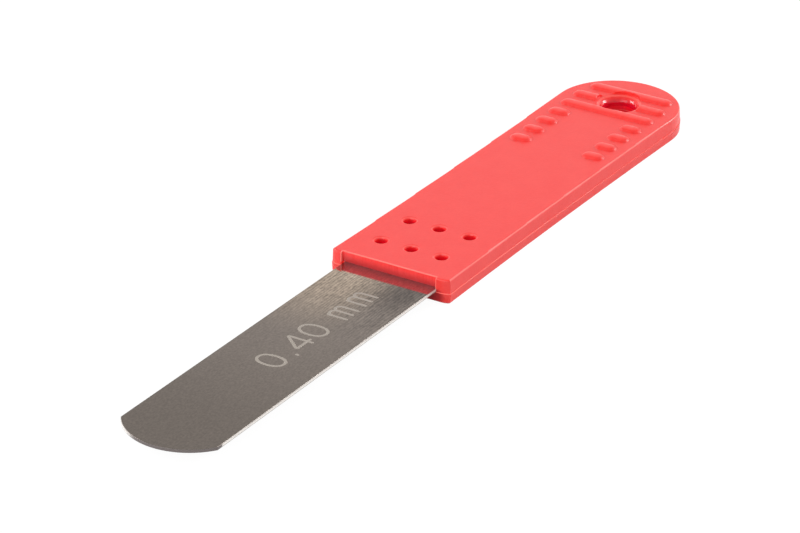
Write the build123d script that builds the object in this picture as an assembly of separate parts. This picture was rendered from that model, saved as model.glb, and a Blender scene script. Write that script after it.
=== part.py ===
from build123d import *
import math
import os

# Valve clearance gauge: a strip of spring steel of one exact thickness, moulded into a flat
# plastic handle with a hanging hole and finger ribs. All sizes are in millimetres.
# X runs along the gauge with the blade's tip at -X, Y runs across it and Z is up.
# The origin lies under the middle of the whole gauge, on the surface that the handle rests on.

# Blade
blade_thickness = 0.40
blade_width = 12.9
blade_reach = 48.6
tip_radius = 7.85
blade_edge_break = 0.05
tang_length = 18.0
tang_corner_radius = 1.0
anchor_diameter = 3.2
anchor_spacing = 7.0
anchor_from_tang_end = 3.4

# Handle
handle_length = 62.9
handle_width = 16.4
waist_depth = 0.22
plastic_above_blade = 1.36
plastic_below_blade = 1.30
draft_above = 2.0
draft_below = 3.0
parting_step = 0.06
front_corner_radius = 2.1
front_corner_run = 1.2
top_edge_radius = 0.22
bottom_edge_break = 0.18

# Recess in the front of the handle, above the blade
recess_depth = 0.36
recess_side_gap = 0.08
recess_edge_break = 0.07

# Holes left by the six mould pins that held the blade from each side
pin_diameter = 1.6
pin_mouth_radius = 0.26
pin_rows = 2
pins_in_row = 3
pin_row_pitch = 6.4
pin_pitch_across = 4.2
first_pin_row_from_recess = 4.85

# How far the recess and the pins lie to +Y of the handle's middle line, as they do in the photo
insert_offset = 0.22

# Hanging hole: a straight throat that opens in a quarter round above and a small bevel below
throat_diameter = 4.1
flare_radius = 1.05
lower_mouth_break = 0.35
hang_hole_from_end = 7.5

# Finger ribs, the crowns of round bars sunk into the top face, measured where they leave it
rib_half_width = 1.0
rib_height = 0.45
rib_pitch = 3.2
rib_outer_reach = 6.7
end_rib_reach = 5.95
short_rib_inner_reach = 3.7
short_rib_rows = 4

# Stations along X
overall_length = blade_reach - recess_depth + handle_length + parting_step
x_tip = -overall_length / 2
x_end = overall_length / 2 - parting_step
x_front = x_end - handle_length
x_recess = x_front + recess_depth
x_tang_end = x_recess + tang_length
x_hang = x_end - hang_hole_from_end

# Levels along Z
z_parting = plastic_below_blade
z_blade_top = z_parting + blade_thickness
z_top = z_blade_top + plastic_above_blade

# Radius of the bar whose crown makes a rib of that width and height
rib_radius = (rib_half_width**2 + rib_height**2) / (2 * rib_height)

# How far a cutter runs past the face that it opens, and how near two sizes count as the same
cutter_overrun = 1.0
same_size = 0.001


def blade_outline():
    """Plan of the blade: square strip, one wide arc for the tip, eased corners at the tang."""
    half = blade_width / 2
    tip_sagitta = tip_radius - math.sqrt(tip_radius**2 - half**2)
    x_shoulder = x_tip + tip_sagitta
    with BuildSketch() as plan:
        with BuildLine():
            ThreePointArc((x_shoulder, -half), (x_tip, 0), (x_shoulder, half))
            Polyline((x_shoulder, half), (x_tang_end, half), (x_tang_end, -half), (x_shoulder, -half))
        make_face()
        fillet(plan.vertices().group_by(Axis.X)[-1], tang_corner_radius)
        with Locations((x_tang_end - anchor_from_tang_end, 0)):
            with GridLocations(0, anchor_spacing, 1, 2):
                Circle(anchor_diameter / 2, mode=Mode.SUBTRACT)
    return plan.sketch


def make_blade():
    """The gauge strip with its tang, its long edges broken by a fine chamfer."""
    strip = extrude(Plane.XY.offset(z_parting) * blade_outline(), blade_thickness)
    rims = strip.faces().group_by(Axis.Z)
    outer_edges = rims[0][0].outer_wire().edges() + rims[-1][0].outer_wire().edges()
    return chamfer(outer_edges, blade_edge_break)


def handle_outline(grow):
    """Plan of the handle at the parting plane, larger all round by grow.

    The end is a full round. Each side is one long hollow arc that is tangent to it, so that
    the handle has a slight waist. The front corners are eased by an arc that ends in a crease.
    """
    end_radius = handle_width / 2 + grow
    waist_half = end_radius - waist_depth
    x_front_here = x_front - grow
    x_end_centre = x_end - handle_width / 2
    x_waist = (x_front + x_end_centre) / 2
    run = x_end_centre - x_waist
    side_radius = (run**2 / waist_depth - end_radius - waist_half) / 2
    share = end_radius / (side_radius + end_radius)
    tangent_point = (x_end_centre - run * share, -share * (waist_half + side_radius))

    turn = math.asin(front_corner_run / front_corner_radius)
    x_crease = x_front_here + front_corner_radius * (1 - math.cos(turn))
    crease_half = waist_half + side_radius - math.sqrt(side_radius**2 - (x_crease - x_waist) ** 2)
    corner_start = (x_front_here, front_corner_run - crease_half)
    diagonal = end_radius * math.cos(math.pi / 4)

    with BuildSketch() as plan:
        with BuildLine() as rim:
            Line((x_front_here, 0), corner_start)
            corner = JernArc(corner_start, (0, -1), front_corner_radius, math.degrees(turn))
            ThreePointArc(corner @ 1, (x_waist, -waist_half), tangent_point)
            ThreePointArc(
                tangent_point,
                (x_end_centre + diagonal, -diagonal),
                (x_end_centre + end_radius, 0),
            )
            mirror(rim.edges(), about=Plane.XZ)
        make_face()
    return plan.sketch


def drafted_half(outline, height, draft):
    """One mould half standing on z = 0, its walls leaning in by the draft angle."""
    return extrude(outline, height, taper=draft)


def make_shell():
    """Both halves of the moulding, the lower one a hair larger, with eased rims."""
    upper = drafted_half(handle_outline(0), z_top - z_parting, draft_above)
    lower = drafted_half(handle_outline(parting_step), z_parting, draft_below)
    shell = Pos(0, 0, z_parting) * (upper + mirror(lower, about=Plane.XY))
    shell = fillet(shell.faces().sort_by(Axis.Z)[-1].outer_wire().edges(), top_edge_radius)
    return chamfer(shell.faces().sort_by(Axis.Z)[0].outer_wire().edges(), bottom_edge_break)


def front_cutter(x_deepest, half, z_low):
    """A block that clears all that lies in front of x_deepest and above z_low, and is 2 * half wide."""
    length = x_deepest - x_front + cutter_overrun
    height = z_top - z_low + cutter_overrun
    corner = (Align.MAX, Align.CENTER, Align.MIN)
    return Pos(x_deepest, insert_offset, z_low) * Box(length, 2 * half, height, align=corner)


def cut_recess(shell):
    """Step the front back above the blade, as wide as the blade, and break the step's rims."""
    half = blade_width / 2 + recess_side_gap
    wide = half + recess_edge_break
    step = front_cutter(x_recess, half, z_parting)
    top_break = front_cutter(x_recess + recess_edge_break, wide, z_top - recess_edge_break)
    low_edges = top_break.faces().sort_by(Axis.Z)[0].edges()
    top_break = chamfer(low_edges.sort_by(Axis.X)[1:], recess_edge_break)
    mouth_break = front_cutter(x_front + recess_edge_break, wide, z_parting)
    back_edges = mouth_break.faces().sort_by(Axis.X)[-1].edges().filter_by(Axis.Z)
    mouth_break = chamfer(back_edges, recess_edge_break)
    return shell - step - top_break - mouth_break


def pin_cutter():
    """A round pin through the handle that widens at the top in two bevels, close to a quarter round."""
    radius = pin_diameter / 2
    bend = pin_mouth_radius * (1 - math.cos(math.pi / 4))
    z_over = z_top + cutter_overrun
    with BuildSketch(Plane.XZ) as profile:
        with BuildLine():
            Polyline(
                (0, -cutter_overrun),
                (radius, -cutter_overrun),
                (radius, z_top - pin_mouth_radius),
                (radius + bend, z_top - bend),
                (radius + pin_mouth_radius, z_top),
                (radius + pin_mouth_radius, z_over),
                (0, z_over),
                close=True,
            )
        make_face()
    return revolve(profile.sketch, Axis.Z)


def cut_pin_holes(shell):
    """Two rows of round holes that end on the blade, from above and from below."""
    x_middle = x_recess + first_pin_row_from_recess + pin_row_pitch * (pin_rows - 1) / 2
    pin = pin_cutter()
    for place in GridLocations(pin_row_pitch, pin_pitch_across, pin_rows, pins_in_row):
        shell -= Pos(x_middle, insert_offset, 0) * place * pin
    return shell


def circles_of(shell, radius):
    """The circular edges of that radius."""
    round_edges = shell.edges().filter_by(GeomType.CIRCLE)
    return round_edges.filter_by(lambda edge: abs(edge.radius - radius) < same_size)


def cut_hang_hole(shell):
    """A straight throat, flared in a quarter round at the top and bevelled below."""
    radius = throat_diameter / 2
    z_over = z_top + cutter_overrun
    shell -= Pos(x_hang, 0, 0) * Cylinder(radius, 2 * z_over)
    mouths = circles_of(shell, radius).sort_by(Axis.Z)
    shell = fillet(mouths[-1], flare_radius)
    return chamfer(circles_of(shell, radius).sort_by(Axis.Z)[0], lower_mouth_break)


def rib(x, y_from, y_to):
    """One finger rib: a round bar along Y with ball ends, its axis sunk below the top face."""
    z_axis = z_top + rib_height - rib_radius
    y_low = y_from + rib_half_width
    y_high = y_to - rib_half_width
    bar = Pos(x, (y_low + y_high) / 2, z_axis) * Rot(90, 0, 0) * Cylinder(rib_radius, y_high - y_low)
    ends = [Pos(x, y, z_axis) * Sphere(rib_radius) for y in (y_low, y_high)]
    return bar + ends


def make_ribs():
    """A pattern of ribs counted from the hanging hole, trimmed where the hole's mouth opens."""
    ribs = [rib(x_hang + rib_pitch, -end_rib_reach, end_rib_reach)]
    for row in (0, -1):
        ribs.append(rib(x_hang + row * rib_pitch, -rib_outer_reach, rib_outer_reach))
    for row in range(short_rib_rows):
        x = x_hang - (2 + row) * rib_pitch
        ribs.append(rib(x, short_rib_inner_reach, rib_outer_reach))
        ribs.append(rib(x, -rib_outer_reach, -short_rib_inner_reach))
    mouth_radius = throat_diameter / 2 + flare_radius
    rib_depth = 2 * rib_radius
    mouth = Pos(x_hang, 0, z_top) * Cylinder(mouth_radius, 2 * rib_depth)
    return [bar - mouth for bar in ribs]


os.makedirs("parts", exist_ok=True)

blade = make_blade()
handle = cut_hang_hole(cut_pin_holes(cut_recess(make_shell())))
for bar in make_ribs():
    handle += bar
handle -= blade

export_step(blade, "parts/gauge_blade.step")
export_step(handle, "parts/handle.step")
print("blade", blade.volume, blade.is_valid, len(blade.solids()))
print("handle", handle.volume, handle.is_valid, len(handle.solids()))
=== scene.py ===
# %% [markdown]
# # A valve clearance gauge, dressed for its picture
#
# The real thing is a strip of spring steel, 0.40 mm thick, whose root is moulded into a red
# plastic grip. Its shape is finished before this lesson starts, so the lesson is about
# everything that light shows on it: the rolled steel, the moulded plastic, the size marked on
# the blade, and the studio round it.
#
# The model could be opened by hand and given new materials in the editor. It is loaded by a
# script here, so that each step can be read, changed and run again.

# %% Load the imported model
import math
import bpy
import numpy as np
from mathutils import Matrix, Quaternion, Vector


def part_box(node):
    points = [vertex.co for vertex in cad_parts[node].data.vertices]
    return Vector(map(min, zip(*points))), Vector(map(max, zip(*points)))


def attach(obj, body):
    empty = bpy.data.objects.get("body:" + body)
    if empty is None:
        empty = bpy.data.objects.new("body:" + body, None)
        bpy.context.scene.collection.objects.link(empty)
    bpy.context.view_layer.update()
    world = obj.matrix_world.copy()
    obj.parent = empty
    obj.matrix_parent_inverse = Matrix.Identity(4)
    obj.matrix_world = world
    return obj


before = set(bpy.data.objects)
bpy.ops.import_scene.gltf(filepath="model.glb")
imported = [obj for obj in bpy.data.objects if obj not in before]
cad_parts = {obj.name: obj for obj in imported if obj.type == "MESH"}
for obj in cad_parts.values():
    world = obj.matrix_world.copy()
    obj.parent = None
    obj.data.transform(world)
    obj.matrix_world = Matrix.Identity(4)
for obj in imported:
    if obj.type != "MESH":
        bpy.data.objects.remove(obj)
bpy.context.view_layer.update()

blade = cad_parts["gauge_blade"]
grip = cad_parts["handle"]
print("loaded", sorted(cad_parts))

# %% [markdown]
# ## Where things are
#
# The frame is in metres and these details are tenths of a millimetre, so a named millimetre
# keeps the numbers readable. Everything that can be read from the model's boxes is read from
# there, because a copied number goes stale when the model changes. What isn't at the edge of
# a box is written out: the wall where the blade leaves the plastic, how far that recess sits
# off the middle, how much wider than the blade it is, and how high the finger ribs stand.

# %% Read the model's measures
MM = 0.001
blade_low, blade_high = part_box("gauge_blade")
grip_low, grip_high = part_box("handle")
blade_top = blade_high.z
blade_thickness = blade_high.z - blade_low.z
wall_x = -7.0 * MM
recess_offset = 0.22 * MM
recess_side_gap = 0.08 * MM
rib_height = 0.45 * MM
grip_body_top = grip_high.z - rib_height
print("blade is", round(blade_thickness / MM, 3), "mm thick, its top at", round(blade_top / MM, 3))
print("grip runs from", round(grip_low.x / MM, 2), "to", round(grip_high.x / MM, 2), "mm")

# %% [markdown]
# ## The camera
#
# A product photograph of something this small is taken from far off with a long lens, which
# keeps its long edges almost parallel. The direction is given as a turn round the part and a
# height above the horizon, because that is how a photographer would describe the stand, and
# the camera is then stepped back from the point it looks at.

# %% Place the camera
def direction(turn, height):
    """Unit vector from the part to a stand: turn 0 is in front, on the -Y side, 90 on the +X side.
    The parts along X, Y and Z are sin(turn)cos(height), -cos(turn)cos(height) and sin(height)."""
    turn, height = math.radians(turn), math.radians(height)
    level = math.cos(height)
    return Vector((math.sin(turn) * level, -math.cos(turn) * level, math.sin(height)))


camera_turn, camera_height, camera_roll = -58.008, 26.424, 0.185
camera_distance = 444.0 * MM
looked_at = Vector((-4.66 * MM, 0.21 * MM, blade_top))

camera_data = bpy.data.cameras.new("product_camera")
camera_data.sensor_width = 36.0
camera_data.lens = 169.12
camera_data.clip_start = 0.01
camera = bpy.data.objects.new("product_camera", camera_data)
bpy.context.scene.collection.objects.link(camera)
backwards = direction(camera_turn, camera_height)
camera.location = looked_at + backwards * camera_distance
camera.rotation_mode = "QUATERNION"
camera.rotation_quaternion = (
    backwards.to_track_quat("Z", "Y") @ Quaternion((0.0, 0.0, 1.0), math.radians(camera_roll)))
bpy.context.scene.camera = camera
bpy.context.scene.view_settings.view_transform = "Standard"
print("camera stands at", [round(c / MM, 1) for c in camera.location], "mm")

# %% [markdown]
# ## Writing a finish as arithmetic
#
# A material is a graph of nodes. It could be drawn by hand, but a long graph is hard to read
# back. Here one socket is wrapped in a small class that knows + - and *, so "0.3 + 0.1 *
# grain" in the script becomes two Math nodes. Everything that isn't arithmetic goes through
# one method, which takes the node's type, its settings, and what to put in its sockets.

# %% The two small classes behind every finish
class Wire:
    """The output of a node, which can be added to, taken from or multiplied like a number."""

    def __init__(self, finish, socket):
        self.finish = finish
        self.socket = socket

    def __add__(self, other):
        return self.finish.maths("ADD", self, other)

    __radd__ = __add__

    def __sub__(self, other):
        return self.finish.maths("SUBTRACT", self, other)

    def __rsub__(self, other):
        return self.finish.maths("SUBTRACT", other, self)

    def __mul__(self, other):
        return self.finish.maths("MULTIPLY", self, other)

    __rmul__ = __mul__


class Finish:
    """A node graph under construction, for a material or for the world."""

    def __init__(self, owner):
        owner.use_nodes = True
        self.owner = owner
        self.tree = owner.node_tree
        self.tree.nodes.clear()

    def node(self, kind, settings=None, sockets=None, output=0):
        """Adds a node and returns one of its outputs. Its settings are set first, then each
        named or numbered socket gets its number, its colour or the link of a Wire."""
        made = self.tree.nodes.new(kind)
        for name, value in (settings or {}).items():
            setattr(made, name, value)
        for name, value in (sockets or {}).items():
            if isinstance(value, Wire):
                self.tree.links.new(value.socket, made.inputs[name])
            else:
                made.inputs[name].default_value = value
        return Wire(self, made.outputs[output])

    def maths(self, operation, *values):
        """A Math node on one or two values."""
        return self.node("ShaderNodeMath", {"operation": operation}, dict(enumerate(values)))

    def size_of(self, value):
        """The value without its sign."""
        return self.maths("ABSOLUTE", value)

    def place(self):
        """The point being shaded, in metres, in the part's own frame."""
        return self.node("ShaderNodeTexCoord", output="Object")

    def along(self, axis):
        """One of the point's coordinates, in millimetres."""
        parts = self.node("ShaderNodeSeparateXYZ", sockets={0: self.place()}, output=axis)
        return parts * (1.0 / MM)

    def fade(self, value, start, end, low=0.0, high=1.0):
        """Goes smoothly from low, where value is start or less, to high, where it is end or more."""
        return self.node(
            "ShaderNodeMapRange", {"interpolation_type": "SMOOTHSTEP"},
            {"Value": value, "From Min": start, "From Max": end, "To Min": low, "To Max": high})

    def fade_out(self, value, start, end):
        """Goes smoothly from 1, where value is start or less, to 0, where it is end or more."""
        return self.fade(value, start, end, 1.0, 0.0)

    def line(self, value, middle, half):
        """1 on a line of the value, at middle, fading to 0 by half to each side."""
        return self.fade_out(self.size_of(value - middle), 0.5 * half, half)

    def grain(self, size, stretch=(1.0, 1.0, 1.0), detail=2.0, roughness=0.5):
        """Cloudy noise from 0 to 1. Its lumps are size mm across, times stretch along X, Y and Z."""
        squeezed = self.node(
            "ShaderNodeMapping", {"vector_type": "POINT"},
            {"Vector": self.place(), "Scale": tuple(1.0 / (MM * size * s) for s in stretch)})
        return self.node(
            "ShaderNodeTexNoise", {"noise_dimensions": "3D"},
            {"Vector": squeezed, "Scale": 1.0, "Detail": detail, "Roughness": roughness})

    def blend(self, share, first, second):
        """The first colour where share is 0, the second where it is 1. A Mix node has sockets
        for numbers and vectors too: its colours are inputs 6 and 7 and output 2."""
        return self.node(
            "ShaderNodeMix", {"data_type": "RGBA"}, {0: share, 6: first, 7: second}, output=2)

    def bump(self, height, depth):
        """A normal tilted by height, which stands for depth in metres."""
        return self.node(
            "ShaderNodeBump", sockets={"Strength": 1.0, "Distance": depth, "Height": height})

    def end(self, shader, kind="ShaderNodeOutputMaterial"):
        """Joins the finished shader to the graph's output."""
        out = self.tree.nodes.new(kind)
        self.tree.links.new(shader.socket, out.inputs["Surface"])
        print("graph", self.owner.name, "has", len(self.tree.nodes), "nodes")
        return self.owner


def grey(level):
    """A colour with the same level of red, green and blue."""
    return (level, level, level, 1)


print("helpers are ready")

# %% [markdown]
# ## The table
#
# The photograph is a catalogue picture on pure white. The white could be made by flooding the
# part with light, which would wash out its colours. So the paper on the table is lit plainly,
# at a mid grey, and only what is seen of it is topped up to white with a glow.
#
# Who looks at the paper decides how much of that white is glow and how much is lit paper,
# which darkens in a shadow. The camera gets nearly all glow, and so a very faint shadow. The
# polished steel gets mostly lit paper, and so it mirrors the shade round the part.

# %% Make the table
table_half = 4.0
table_mesh = bpy.data.meshes.new("table")
corner = np.array([(-1, -1, 0), (1, -1, 0), (1, 1, 0), (-1, 1, 0)]) * table_half
table_mesh.from_pydata(corner.tolist(), [], [(0, 1, 2, 3)])
table = bpy.data.objects.new("table", table_mesh)
bpy.context.scene.collection.objects.link(table)

paper_level, seen_level = 0.45, 1.03
shade_for_camera, more_shade_for_mirrors = 0.07, 0.72

paper = Finish(bpy.data.materials.new("white_paper"))
mirrored = paper.node("ShaderNodeLightPath", output="Is Glossy Ray")
photographed = paper.node("ShaderNodeLightPath", output="Is Camera Ray")
seen_through = paper.node("ShaderNodeLightPath", output="Is Transmission Ray")
shade = shade_for_camera + more_shade_for_mirrors * mirrored
shade_tone = paper.node(
    "ShaderNodeCombineColor", sockets={"Red": shade, "Green": shade, "Blue": shade})
glow = paper.node(
    "ShaderNodeEmission", sockets={"Color": grey(1), "Strength": seen_level - shade})
lit = paper.node("ShaderNodeBsdfDiffuse", sockets={"Color": shade_tone})
seen = paper.node("ShaderNodeAddShader", sockets={0: glow, 1: lit})
plain = paper.node("ShaderNodeBsdfDiffuse", sockets={"Color": grey(paper_level)})
is_seen = paper.maths("MINIMUM", photographed + mirrored + seen_through, 1.0)
table_mesh.materials.append(paper.end(paper.node(
    "ShaderNodeMixShader", sockets={0: is_seen, 1: plain, 2: seen})))
print("table is", 2 * table_half, "m wide")

# %% [markdown]
# ## The light
#
# A white room lights the part softly from all round. Its ceiling is dimmer than its walls,
# because light from above washes out the red of the grip's top. A photograph of a room could
# light the part as well, but a plain room can be explained, and leaves nothing strange in the
# steel.
#
# Three soft boxes stand in the room. The small ones to the right and to the left show as a
# pair of bright spots in the mouth of the hanging hole, and the right one also draws the
# bright line along the grip's edge. The wide one in front lifts the faces that the blade
# comes out of.

# %% Light the studio
wall_level, ceiling_level = 0.97, 0.42
wall_end, ceiling_start = 0.25, 0.95

world = bpy.data.worlds.new("studio")
bpy.context.scene.world = world
room = Finish(world)
looking = room.node("ShaderNodeTexCoord", output="Generated")
up = room.node("ShaderNodeSeparateXYZ", sockets={0: looking}, output="Z")
room_level = room.fade(up, wall_end, ceiling_start, wall_level, ceiling_level)
room.end(room.node("ShaderNodeBackground", sockets={"Color": grey(1), "Strength": room_level}),
         "ShaderNodeOutputWorld")


def soft_box(name, turn, height, distance, width, level):
    """A square lamp facing the part. Level is how bright it alone would make white paper held
    square to it, so its power is level times pi squared times the distance squared."""
    data = bpy.data.lights.new(name, "AREA")
    data.shape = "SQUARE"
    data.size = width
    data.energy = level * (math.pi * distance) ** 2
    lamp = bpy.data.objects.new(name, data)
    bpy.context.scene.collection.objects.link(lamp)
    lamp.location = direction(turn, height) * distance
    lamp.rotation_mode = "QUATERNION"
    lamp.rotation_quaternion = direction(turn, height).to_track_quat("Z", "Y")
    print(name, "gives", level, "of paper white")


soft_box("box_right", turn=54, height=24, distance=0.7, width=0.26, level=0.56)
soft_box("box_left", turn=-163, height=27, distance=0.7, width=0.26, level=0.42)
soft_box("box_front", turn=-96, height=24, distance=0.9, width=0.8, level=0.46)

# %% [markdown]
# ## Finding places on the grip
#
# Parts of the moulding are finished differently, but they are all one mesh with one material.
# They could be told apart by painting a mask on the mesh, which has to be painted again when
# the model changes. Here each place is found by its coordinates: a mask is 1 there and 0
# elsewhere, and masks are multiplied where both have to hold. They start and end a few
# hundredths of a millimetre off the edge they find, because the mesh of a curve lies a little
# inside the true curve.
#
# The first places are round the recess above the blade. A cutter milled that wall in the
# mould, so the rims where it leaves the skin are sharp, and they are painted pale, as a highlight.

# %% Find the milled wall and its rims
plastic = Finish(bpy.data.materials.new("red_plastic_skin"))
ahead, across, height = plastic.along("X"), plastic.along("Y"), plastic.along("Z")
wall_mm, front_mm = wall_x / MM, grip_low.x / MM
top_mm, blade_top_mm = grip_body_top / MM, blade_top / MM
cheek_mm = (blade_high.y + recess_side_gap) / MM
sideways = plastic.size_of(across - recess_offset / MM)

wall_half, top_rim_half, cheek_rim_half = 0.08, 0.13, 0.10
inside_cheeks = plastic.fade_out(sideways, cheek_mm, cheek_mm + 0.05)
above_blade = plastic.fade(height, blade_top_mm - 0.02, blade_top_mm + 0.02)
on_wall = plastic.line(ahead, wall_mm, wall_half) * inside_cheeks * above_blade
# Painted shade: the wall's colour darkens towards its foot by the blade.
up_the_wall = plastic.fade(height, blade_top_mm - 0.1, top_mm - 0.1)

# Painted highlight: the top rim of the recess and the inner front edges of the cheeks are painted
# pale.
top_rim_highlight = (plastic.line(ahead, wall_mm + 0.05, top_rim_half)
           * plastic.fade(height, top_mm - 0.12, top_mm - 0.08)
           * plastic.fade_out(sideways, cheek_mm + 0.05, cheek_mm + 0.1))
cheek_rim_highlight = (plastic.line(sideways, cheek_mm + 0.035, cheek_rim_half) * above_blade
             * plastic.fade_out(ahead, wall_mm - 0.1, wall_mm))
print("wall at", wall_mm, "mm, cheeks at", round(cheek_mm, 2), "mm either side")

# %% [markdown]
# ## Holes, highlighted edges and the parting line
#
# A hole has no coordinate of its own, but anything below the top face and well inside the
# outline has to be the wall of one. These walls are painted a deeper red, as shade, and the
# hanging hole's wall below its lip a darker red still, as painted shade. The flare of the
# hanging hole is smoother than the rest, and it is the one place that shows sharp highlights.
#
# The top edge all round is painted pale, as a highlight, and so is the parting line, where the
# two halves of the mould met, most of all near the blade. The crowns of the finger ribs get a
# fainter painted highlight. The last place is the front face under the blade's root, which
# hardly any light reaches: it is painted darker, as shade, in a band below the blade with a
# rounded end, on the side with the broader cheek.

# %% Find the holes and the highlighted edges
hole_shade_depth, flare_lip, crown_foot, crown_height = 0.80, 0.10, 0.24, 0.42
past_pin_holes, by_hanging_hole = 30.0, 34.0
inside_grip = (plastic.fade_out(sideways, cheek_mm - 0.4, cheek_mm - 0.2)
               * plastic.fade(ahead, wall_mm + 0.25, wall_mm + 0.45))
# Painted shade: hole walls get a deeper red, and the hanging hole's wall below its lip a darker one.
in_holes = inside_grip * plastic.fade_out(height, top_mm - hole_shade_depth, top_mm - 0.03)
polished_and_shaded_flare = (inside_grip * plastic.fade(ahead, past_pin_holes, by_hanging_hole)
            * plastic.fade_out(height, top_mm - flare_lip, top_mm - 0.02)
            * plastic.fade(height, blade_top_mm, blade_top_mm + 0.3))
# Painted highlight: the crowns of the finger ribs are painted paler.
rib_crown_highlight = plastic.fade(height, top_mm + crown_foot, top_mm + crown_height)

highlight_outside, less_highlight_in_holes = 0.8, 0.4
# Painted highlight: a pale band along the top edge all round, fainter at the mouths of the holes.
top_edge_highlight = (plastic.fade(height, top_mm - 0.19, top_mm - 0.11)
            * plastic.fade_out(height, top_mm - 0.05, top_mm - 0.015)
            * plastic.fade(ahead, wall_mm, wall_mm + 0.3)
            * (highlight_outside - less_highlight_in_holes * inside_grip))

parting_mm, parting_half = blade_low.z / MM, 0.07
near_share, far_share = 1.0, 0.45
# Painted highlight: a thin pale line along the parting line, strongest near the blade.
parting_highlight = (plastic.line(height, parting_mm, parting_half)
                * plastic.fade(ahead, 2.0, 46.0, near_share, far_share))

# Painted shade: the front face under the blade's root is darkened in its colour.
shade_across, shade_up = 1.55, 1.05
beside = plastic.maths("MAXIMUM", sideways - (cheek_mm - 0.1), 0.0) * (1 / shade_across)
beneath = (height - (parting_mm - 0.45)) * (1 / shade_up)
by_root = (plastic.fade_out(beside * beside + beneath * beneath, 0.15, 1.0)
           * plastic.fade_out(ahead, front_mm + 0.2, front_mm + 0.3)
           * plastic.fade_out(across, 0.0, 1.0))
print("parting line at", round(parting_mm, 2), "mm, top face at", round(top_mm, 2), "mm")

# %% [markdown]
# ## Red plastic
#
# The grip is injection moulded in a soft, slightly see-through red. A tool cut by spark
# erosion leaves its skin finely pitted, which breaks the shine into a satin. Light goes in
# and comes out a little way off, so thin edges glow and shaded corners stay a deep red
# instead of going brown. That is what subsurface scattering is for. On the milled wall the
# cutter left upright lines in place of the pits, and the wall's colour is painted darker down
# by the blade, as shade.

# %% Mix the reds
pits = plastic.grain(0.42, detail=3.0, roughness=0.65)
clouds = plastic.grain(2.2, detail=2.0)
cutter_lines = plastic.grain(0.20, stretch=(4.0, 1.0, 14.0), detail=3.0, roughness=0.65)

# Painted shade: the wall-foot, root, hole and flare reds. Painted highlight: the crown red and the
# pale red of the rims, top edge and parting line.
pit_red, skin_red = (0.80, 0.008, 0.006, 1), (0.89, 0.068, 0.058, 1)
groove_red, ridge_red = (0.93, 0.032, 0.032, 1), (1.0, 0.060, 0.054, 1)
wall_foot_shade_red, root_shade_red = (0.50, 0.008, 0.010, 1), (0.46, 0.002, 0.008, 1)
hole_shade_red, flare_shade_red = (0.92, 0.002, 0.024, 1), (0.66, 0.004, 0.022, 1)
crown_highlight_red, painted_highlight_red = (0.95, 0.078, 0.070, 1), (1.0, 0.19, 0.165, 1)

moulded_red = plastic.blend(0.7 * pits + 0.3 * clouds, pit_red, skin_red)
milled_red = plastic.blend(plastic.fade(cutter_lines, 0.30, 0.70), groove_red, ridge_red)
wall_red = plastic.blend(up_the_wall, wall_foot_shade_red, milled_red)
body_red = plastic.blend(rib_crown_highlight, plastic.blend(on_wall, moulded_red, wall_red), crown_highlight_red)
painted_hole_shade = plastic.blend(polished_and_shaded_flare, hole_shade_red, flare_shade_red)
shaded_red = plastic.blend(by_root, plastic.blend(in_holes, body_red, painted_hole_shade), root_shade_red)
skin = plastic.blend(top_rim_highlight + cheek_rim_highlight + top_edge_highlight + parting_highlight, shaded_red, painted_highlight_red)
print("reds are mixed in", len(plastic.tree.nodes), "nodes")

# %% Finish the red plastic
satin, pit_roughness, polish = 0.24, 0.18, 0.16
pit_relief, polished_away, cutter_relief = 0.5, 0.4, 0.7
relief_depth = 0.030 * MM
relief = pits * (pit_relief - polished_away * polished_and_shaded_flare) + cutter_relief * on_wall * cutter_lines

red_plastic = plastic.end(plastic.node(
    "ShaderNodeBsdfPrincipled", {"subsurface_method": "RANDOM_WALK"},
    {"Base Color": skin, "Roughness": satin + pit_roughness * pits - polish * polished_and_shaded_flare,
     "IOR": 1.51, "Subsurface Weight": 0.30, "Subsurface Radius": (1.0, 0.22, 0.14),
     "Subsurface Scale": 0.7 * MM, "Normal": plastic.bump(relief, relief_depth)}))

# %% [markdown]
# ## Rolled spring steel
#
# Feeler strip is cold rolled and then tempered. The rolls draw every flaw out along the
# strip, so its grain is longer than wide. A brushed look could come from anisotropic
# reflection, but the export would lose it, so the grain is laid into the colour, the
# roughness and the bump.
#
# Three kinds of grain are added up: regular ridges, whose sine is bent by a slow drift so
# that they never run straight, broken streaks between them, and a fine speckle everywhere.
# The first two are strongest near the grip, and calmer on the last two millimetres, where the
# strip mirrors the red wall.

# %% Grow the steel's grain
steel = Finish(bpy.data.materials.new("rolled_steel"))
ahead, across, height = steel.along("X"), steel.along("Y"), steel.along("Z")
grain_starts, grain_full = -30.0, -12.0
reflection_band_reach, calmer_by_wall = 2.30, 0.7
# Painted reflection: the last two millimetres before the wall are a lighter, untinted grey, which
# brightens their mirror image of the red wall.
wall_reflection_band = steel.fade(ahead, wall_mm - reflection_band_reach, wall_mm - reflection_band_reach + 0.30)
near_grip = steel.fade(ahead, grain_starts, grain_full) * (1.0 - calmer_by_wall * wall_reflection_band)

ridge_pitch, ridge_bend = 0.40, 2.4
drift = steel.grain(1.1, stretch=(2.4, 1.0, 1.0), detail=3.0, roughness=0.6)
ridge_turn = 2 * math.pi * (across * (1 / ridge_pitch) + ridge_bend * drift)
ridges = 0.5 + 0.5 * steel.maths("SINE", ridge_turn)
broken = steel.grain(0.34, stretch=(2.2, 1.0, 2.0), detail=3.0, roughness=0.7)
speckle = steel.grain(0.22, stretch=(1.6, 1.0, 1.0), detail=2.0, roughness=0.65)
patches = steel.grain(5.0, stretch=(2.2, 1.0, 1.0), detail=1.0)

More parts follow.
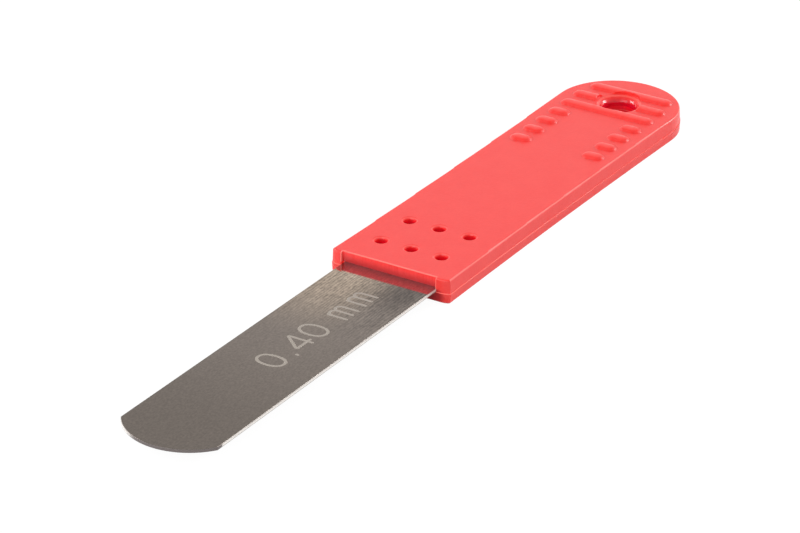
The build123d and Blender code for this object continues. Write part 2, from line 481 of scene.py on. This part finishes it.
ridge_contrast, broken_contrast, speckle_contrast, patch_contrast = 0.40, 1.70, 0.80, 0.10
streaks = ridge_contrast * (ridges - 0.5) + broken_contrast * (broken - 0.5)
grain_shade = (1.0 + near_grip * streaks + speckle_contrast * (speckle - 0.5)
               + patch_contrast * (patches - 0.5))
print("steel's grain takes", len(steel.tree.nodes), "nodes")

# %% [markdown]
# ## The tint of the steel
#
# The steel's tones are painted on to stand for how the strip reflects the room from place to
# place, a painted reflection and shade: straw and lighter on the +Y side of the root,
# blue-grey and darker on the -Y side, and a plain grey that darkens towards the tip. One long
# gradient could carry it, but the tone changes across the strip as well, so the root's colours
# are blended across it first, and the blade's along it afterwards. The last two millimetres
# before the plastic are painted a lighter, untinted grey, which brightens their reflection of
# the red wall: a painted reflection.

# %% Tint the steel
# Painted reflection and shade: these tones stand for how the strip reflects the room from place to
# place.
tip_grey, mid_grey = (0.179, 0.149, 0.127, 1), (0.232, 0.193, 0.167, 1)
straw, blue_grey = (0.442, 0.348, 0.267, 1), (0.140, 0.113, 0.098, 1)
reflection_lifting_grey = (0.385, 0.385, 0.40, 1)

blue_starts, blue_full = -19.0, -11.0
edge_y, inner_y, blue_at_edge = -6.4, -5.0, 0.35
straw_starts_y, straw_full_y = -4.2, 3.4
tip_end, body_full = -50.0, -24.0
root_starts, root_full = -27.0, -10.5

inwards = steel.fade(across, edge_y, inner_y, blue_at_edge, 1.0)
blue_share = steel.fade(ahead, blue_starts, blue_full) * inwards
blue_side = steel.blend(blue_share, mid_grey, blue_grey)
root_tone = steel.blend(steel.fade(across, straw_starts_y, straw_full_y), blue_side, straw)
body_tone = steel.blend(steel.fade(ahead, tip_end, body_full), tip_grey, mid_grey)
tinted = steel.blend(steel.fade(ahead, root_starts, root_full), body_tone, root_tone)
tone = steel.blend(wall_reflection_band, tinted, reflection_lifting_grey)
face_tone = steel.node(
    "ShaderNodeVectorMath", {"operation": "SCALE"}, {0: tone, "Scale": grain_shade})
print("steel's tint brings it to", len(steel.tree.nodes), "nodes")

# %% [markdown]
# ## The edges of the blade
#
# The strip was slit from a wide sheet and then dressed. Slitting leaves a bright band where
# the knife cut and a torn line where the metal gave way, low on the edge, and dressing breaks
# both corners a little. Most of the tip's edge is painted dark, as a painted reflection of
# the shade it mirrors. All of it lies within 0.40 mm, and is found by its distance from the
# middle of the strip.
#
# A dressed edge is covered in fine scratches, and looks more like pale paint than a mirror.
# So its Metallic goes down as well as its roughness up, and both most of all on the corners.

# %% Brighten the slit edges and finish the steel
middle = (blade_top - blade_thickness / 2) / MM
half = blade_thickness / 2 / MM
edge_break, torn_depth, torn_half = 0.052, 0.65, 0.06
shoulder_x, tip_dark_to_y, bright_from_y = -51.2, 2.2, 4.4
off_middle = steel.size_of(height - middle)
on_edge = steel.fade_out(off_middle, half - 0.008, half - 0.001)
on_break = steel.fade(off_middle, half - edge_break - 0.004, half - edge_break + 0.004)
on_torn = steel.line(height, middle - torn_depth * half, torn_half)
# Painted reflection: most of the tip's edge is painted dark, for the shade it mirrors.
on_tip = (steel.fade_out(across, tip_dark_to_y, bright_from_y)
          * steel.fade_out(ahead, shoulder_x - 0.4, shoulder_x))

cut_dark, cut_bright = (0.85, 0.80, 0.755, 1), (0.93, 0.875, 0.825, 1)
torn_grey, break_grey = (0.42, 0.39, 0.375, 1), (0.47, 0.44, 0.415, 1)
tip_shade_grey = (0.16, 0.135, 0.13, 1)
knife_marks = steel.grain(0.16, stretch=(1.0, 1.0, 6.0), detail=1.0)
slit_tone = steel.blend(on_torn, steel.blend(knife_marks, cut_dark, cut_bright), torn_grey)
long_edge_tone = steel.blend(on_break, slit_tone, break_grey)
edge_tone = steel.blend(on_tip, long_edge_tone, tip_shade_grey)

rolled_roughness = 0.045 + 0.05 * broken + 0.03 * patches
edge_roughness, rougher_break = 0.36, 0.24
dull_edge, duller_break = 0.7, 0.3
grain_depth = 0.0008 * MM
rolled_steel = steel.end(steel.node(
    "ShaderNodeBsdfPrincipled", None,
    {"Base Color": steel.blend(on_edge, face_tone, edge_tone),
     "Metallic": 1.0 - on_edge * (dull_edge + duller_break * on_break),
     "Roughness": rolled_roughness + on_edge * (edge_roughness + rougher_break * on_break),
     "Normal": steel.bump(broken * near_grip + 0.25 * speckle, grain_depth)}))

# %% [markdown]
# ## The size marked on the blade
#
# The thickness is etched into the steel: "0.40 mm" in a plain drawn hand. A text object could
# write it, but its corners are those of a typeface, and a tool marks with a round point. So
# each figure is drawn as a pen would draw it: a path, and a thin round-ended band of even
# width that follows the path. Paths are in millimetres, from the middle of the recess's wall.
#
# The bands are a few microns proud, closed all round, and their lower half is in the steel.

# %% Draw the paths of the figures
def resampled(path, step):
    """The path as points at equal steps: each point is found by its distance along the path."""
    run = np.concatenate([[0.0], np.cumsum(np.hypot(*np.diff(path, axis=0).T))])
    count = max(8, int(round(run[-1] / step)))
    even = np.linspace(0.0, run[-1], count + 1)
    return np.column_stack([np.interp(even, run, path[:, 0]), np.interp(even, run, path[:, 1])])


def oval(centre_x, half_width, bottom, top, squareness=2.3):
    """A closed oval: x and y are cosine and sine, each raised to 2 / squareness with its sign
    kept, which makes the sides a little straighter than those of an ellipse."""
    turn = np.linspace(0.0, 2.0 * np.pi, 241)
    bend = 2.0 / squareness
    c, s = np.cos(turn), np.sin(turn)
    x = centre_x + half_width * np.sign(c) * np.abs(c) ** bend
    y = (bottom + top) / 2 + (top - bottom) / 2 * np.sign(s) * np.abs(s) ** bend
    return np.column_stack([x, y])


def arch(left, right, start, top, bottom):
    """A leg of the letter m: half an ellipse from (left, start) over the top to the right,
    then straight down to the bottom."""
    turn = np.linspace(np.pi, 0.0, 41)
    x = (left + right) / 2 + (right - left) / 2 * np.cos(turn)
    y = start + (top - start) * np.sin(turn)
    return np.vstack([np.column_stack([x, y]), [(right, bottom)]])


figure_top, figure_bottom = 1.60, -1.90
first_nought, second_nought = -25.52, -16.82
four, four_left, four_right, four_bar = -19.46, -21.66, -18.74, -1.02
strokes = [
    (oval(first_nought, 1.14, figure_bottom, figure_top), True),
    (np.array([(-22.78, -1.62), (-22.80, -1.86), (-22.95, -2.12)]), False),
    (np.array([(four, figure_bottom), (four, figure_top)]), False),
    (np.array([(four - 0.02, figure_top - 0.03), (four_left, four_bar + 0.04)]), False),
    (np.array([(four_left, four_bar), (four_right, four_bar - 0.06)]), False),
    (oval(second_nought, 1.17, figure_bottom, figure_top), True),
]

letter_top, letter_bottom, arch_start = 0.80, -2.05, 0.05
for stem in (-12.55, -8.47):
    middle_leg, last_leg = stem + 1.30, stem + 2.48
    strokes.append((np.array([(stem, letter_bottom), (stem, letter_top)]), False))
    strokes.append((arch(stem, middle_leg, arch_start, letter_top, letter_bottom), False))
    strokes.append((arch(middle_leg, last_leg, arch_start, letter_top, letter_bottom), False))
print(len(strokes), "strokes, figures", round(figure_top - figure_bottom, 2), "mm tall")

# %% Carry the band along each path
def band(path, closed, half_width, proud, sunk, step=0.06, around=16):
    """Vertices and faces of a band along a path, as a grid of (distance, turn round the section).
    The section is a flat oval: half_width times cosine across, and proud times sine above the
    steel or sunk times sine below it. Near an open end the width shrinks like the end of a
    circle, as the square root of 1 minus the square of how far into the end a point is."""
    line = resampled(path, step)
    if closed:
        line = line[:-1]
        heading = np.roll(line, -1, axis=0) - np.roll(line, 1, axis=0)
        width = np.full(len(line), half_width)
    else:
        heading = np.gradient(line, axis=0)
        run = np.linspace(0.0, 1.0, len(line)) * np.hypot(*np.diff(line, axis=0).T).sum()
        into = np.clip(1.0 - np.minimum(run, run[-1] - run) / half_width, 0.0, 0.98)
        width = half_width * np.sqrt(1.0 - into ** 2)
    heading = heading / np.hypot(*heading.T)[:, None]
    side = np.column_stack([-heading[:, 1], heading[:, 0]])

    turn = np.linspace(0.0, 2.0 * np.pi, around, endpoint=False)
    across = width[:, None] * np.cos(turn)[None, :]
    lift = np.where(np.sin(turn) > 0, proud, sunk) * np.sin(turn)
    x = line[:, :1] + side[:, :1] * across
    y = line[:, 1:] + side[:, 1:] * across
    z = (width[:, None] / half_width) * lift[None, :]
    points = np.stack([x, y, z], axis=-1).reshape(-1, 3)

    rings = len(line)
    ring = np.arange(rings if closed else rings - 1)[:, None]
    spot = np.arange(around)[None, :]
    here, there = ring * around, (ring + 1) % rings * around
    following = (spot + 1) % around
    faces = np.stack([here + spot, there + spot, there + following, here + following], axis=-1)
    first_cap = np.arange(around).tolist()
    last_cap = (rings * around - 1 - np.arange(around)).tolist()
    return points, faces.reshape(-1, 4).tolist() + ([] if closed else [first_cap, last_cap])


pen_half_width, etch_proud, etch_sunk = 0.19, 0.008, 0.02
points, faces = [], []
for path, closed in strokes:
    made, band_faces = band(path, closed, pen_half_width, etch_proud, etch_sunk)
    first = sum(len(p) for p in points)
    points.append(made)
    faces += [[first + corner for corner in face] for face in band_faces]
points = np.concatenate(points) * MM + np.array([wall_x, 0.0, blade_top])

mark_mesh = bpy.data.meshes.new("blade_marking")
mark_mesh.from_pydata(points.tolist(), [], faces)
mark_mesh.polygons.foreach_set("use_smooth", np.ones(len(faces), bool))
mark_mesh.update()
marking = bpy.data.objects.new("blade_marking", mark_mesh)
bpy.context.scene.collection.objects.link(marking)
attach(marking, "root")
print("marking has", len(faces), "faces")

# %% [markdown]
# ## The etched finish
#
# The etched steel is the same metal with its polish gone: the acid roughened it. It scatters
# what it reflects, so it looks lighter than the polished strip, which mirrors a dim part of
# the room. That is why its roughness is raised and not its colour alone.

# %% Finish the marking
etch = Finish(bpy.data.materials.new("etched_steel"))
frost = etch.grain(0.09, detail=2.0, roughness=0.6)
frost_grey, pale_frost = (0.365, 0.322, 0.282, 1), (0.50, 0.447, 0.392, 1)
etched_steel = etch.end(etch.node(
    "ShaderNodeBsdfPrincipled", None,
    {"Base Color": etch.blend(frost, frost_grey, pale_frost), "Metallic": 0.6,
     "Roughness": 0.55 + 0.1 * frost, "Normal": etch.bump(frost, 0.003 * MM)}))
mark_mesh.materials.append(etched_steel)

# %% [markdown]
# ## Put the finishes on the model
#
# The model's own parts keep their shape and place. Each has material slots already, so the
# new finishes only take the place of what the slots hold.

# %% Fill the slots
for part, finish in ((blade, rolled_steel), (grip, red_plastic)):
    for slot in part.material_slots:
        slot.material = finish
    print(part.name, "has", len(part.material_slots), "slot, now", finish.name)
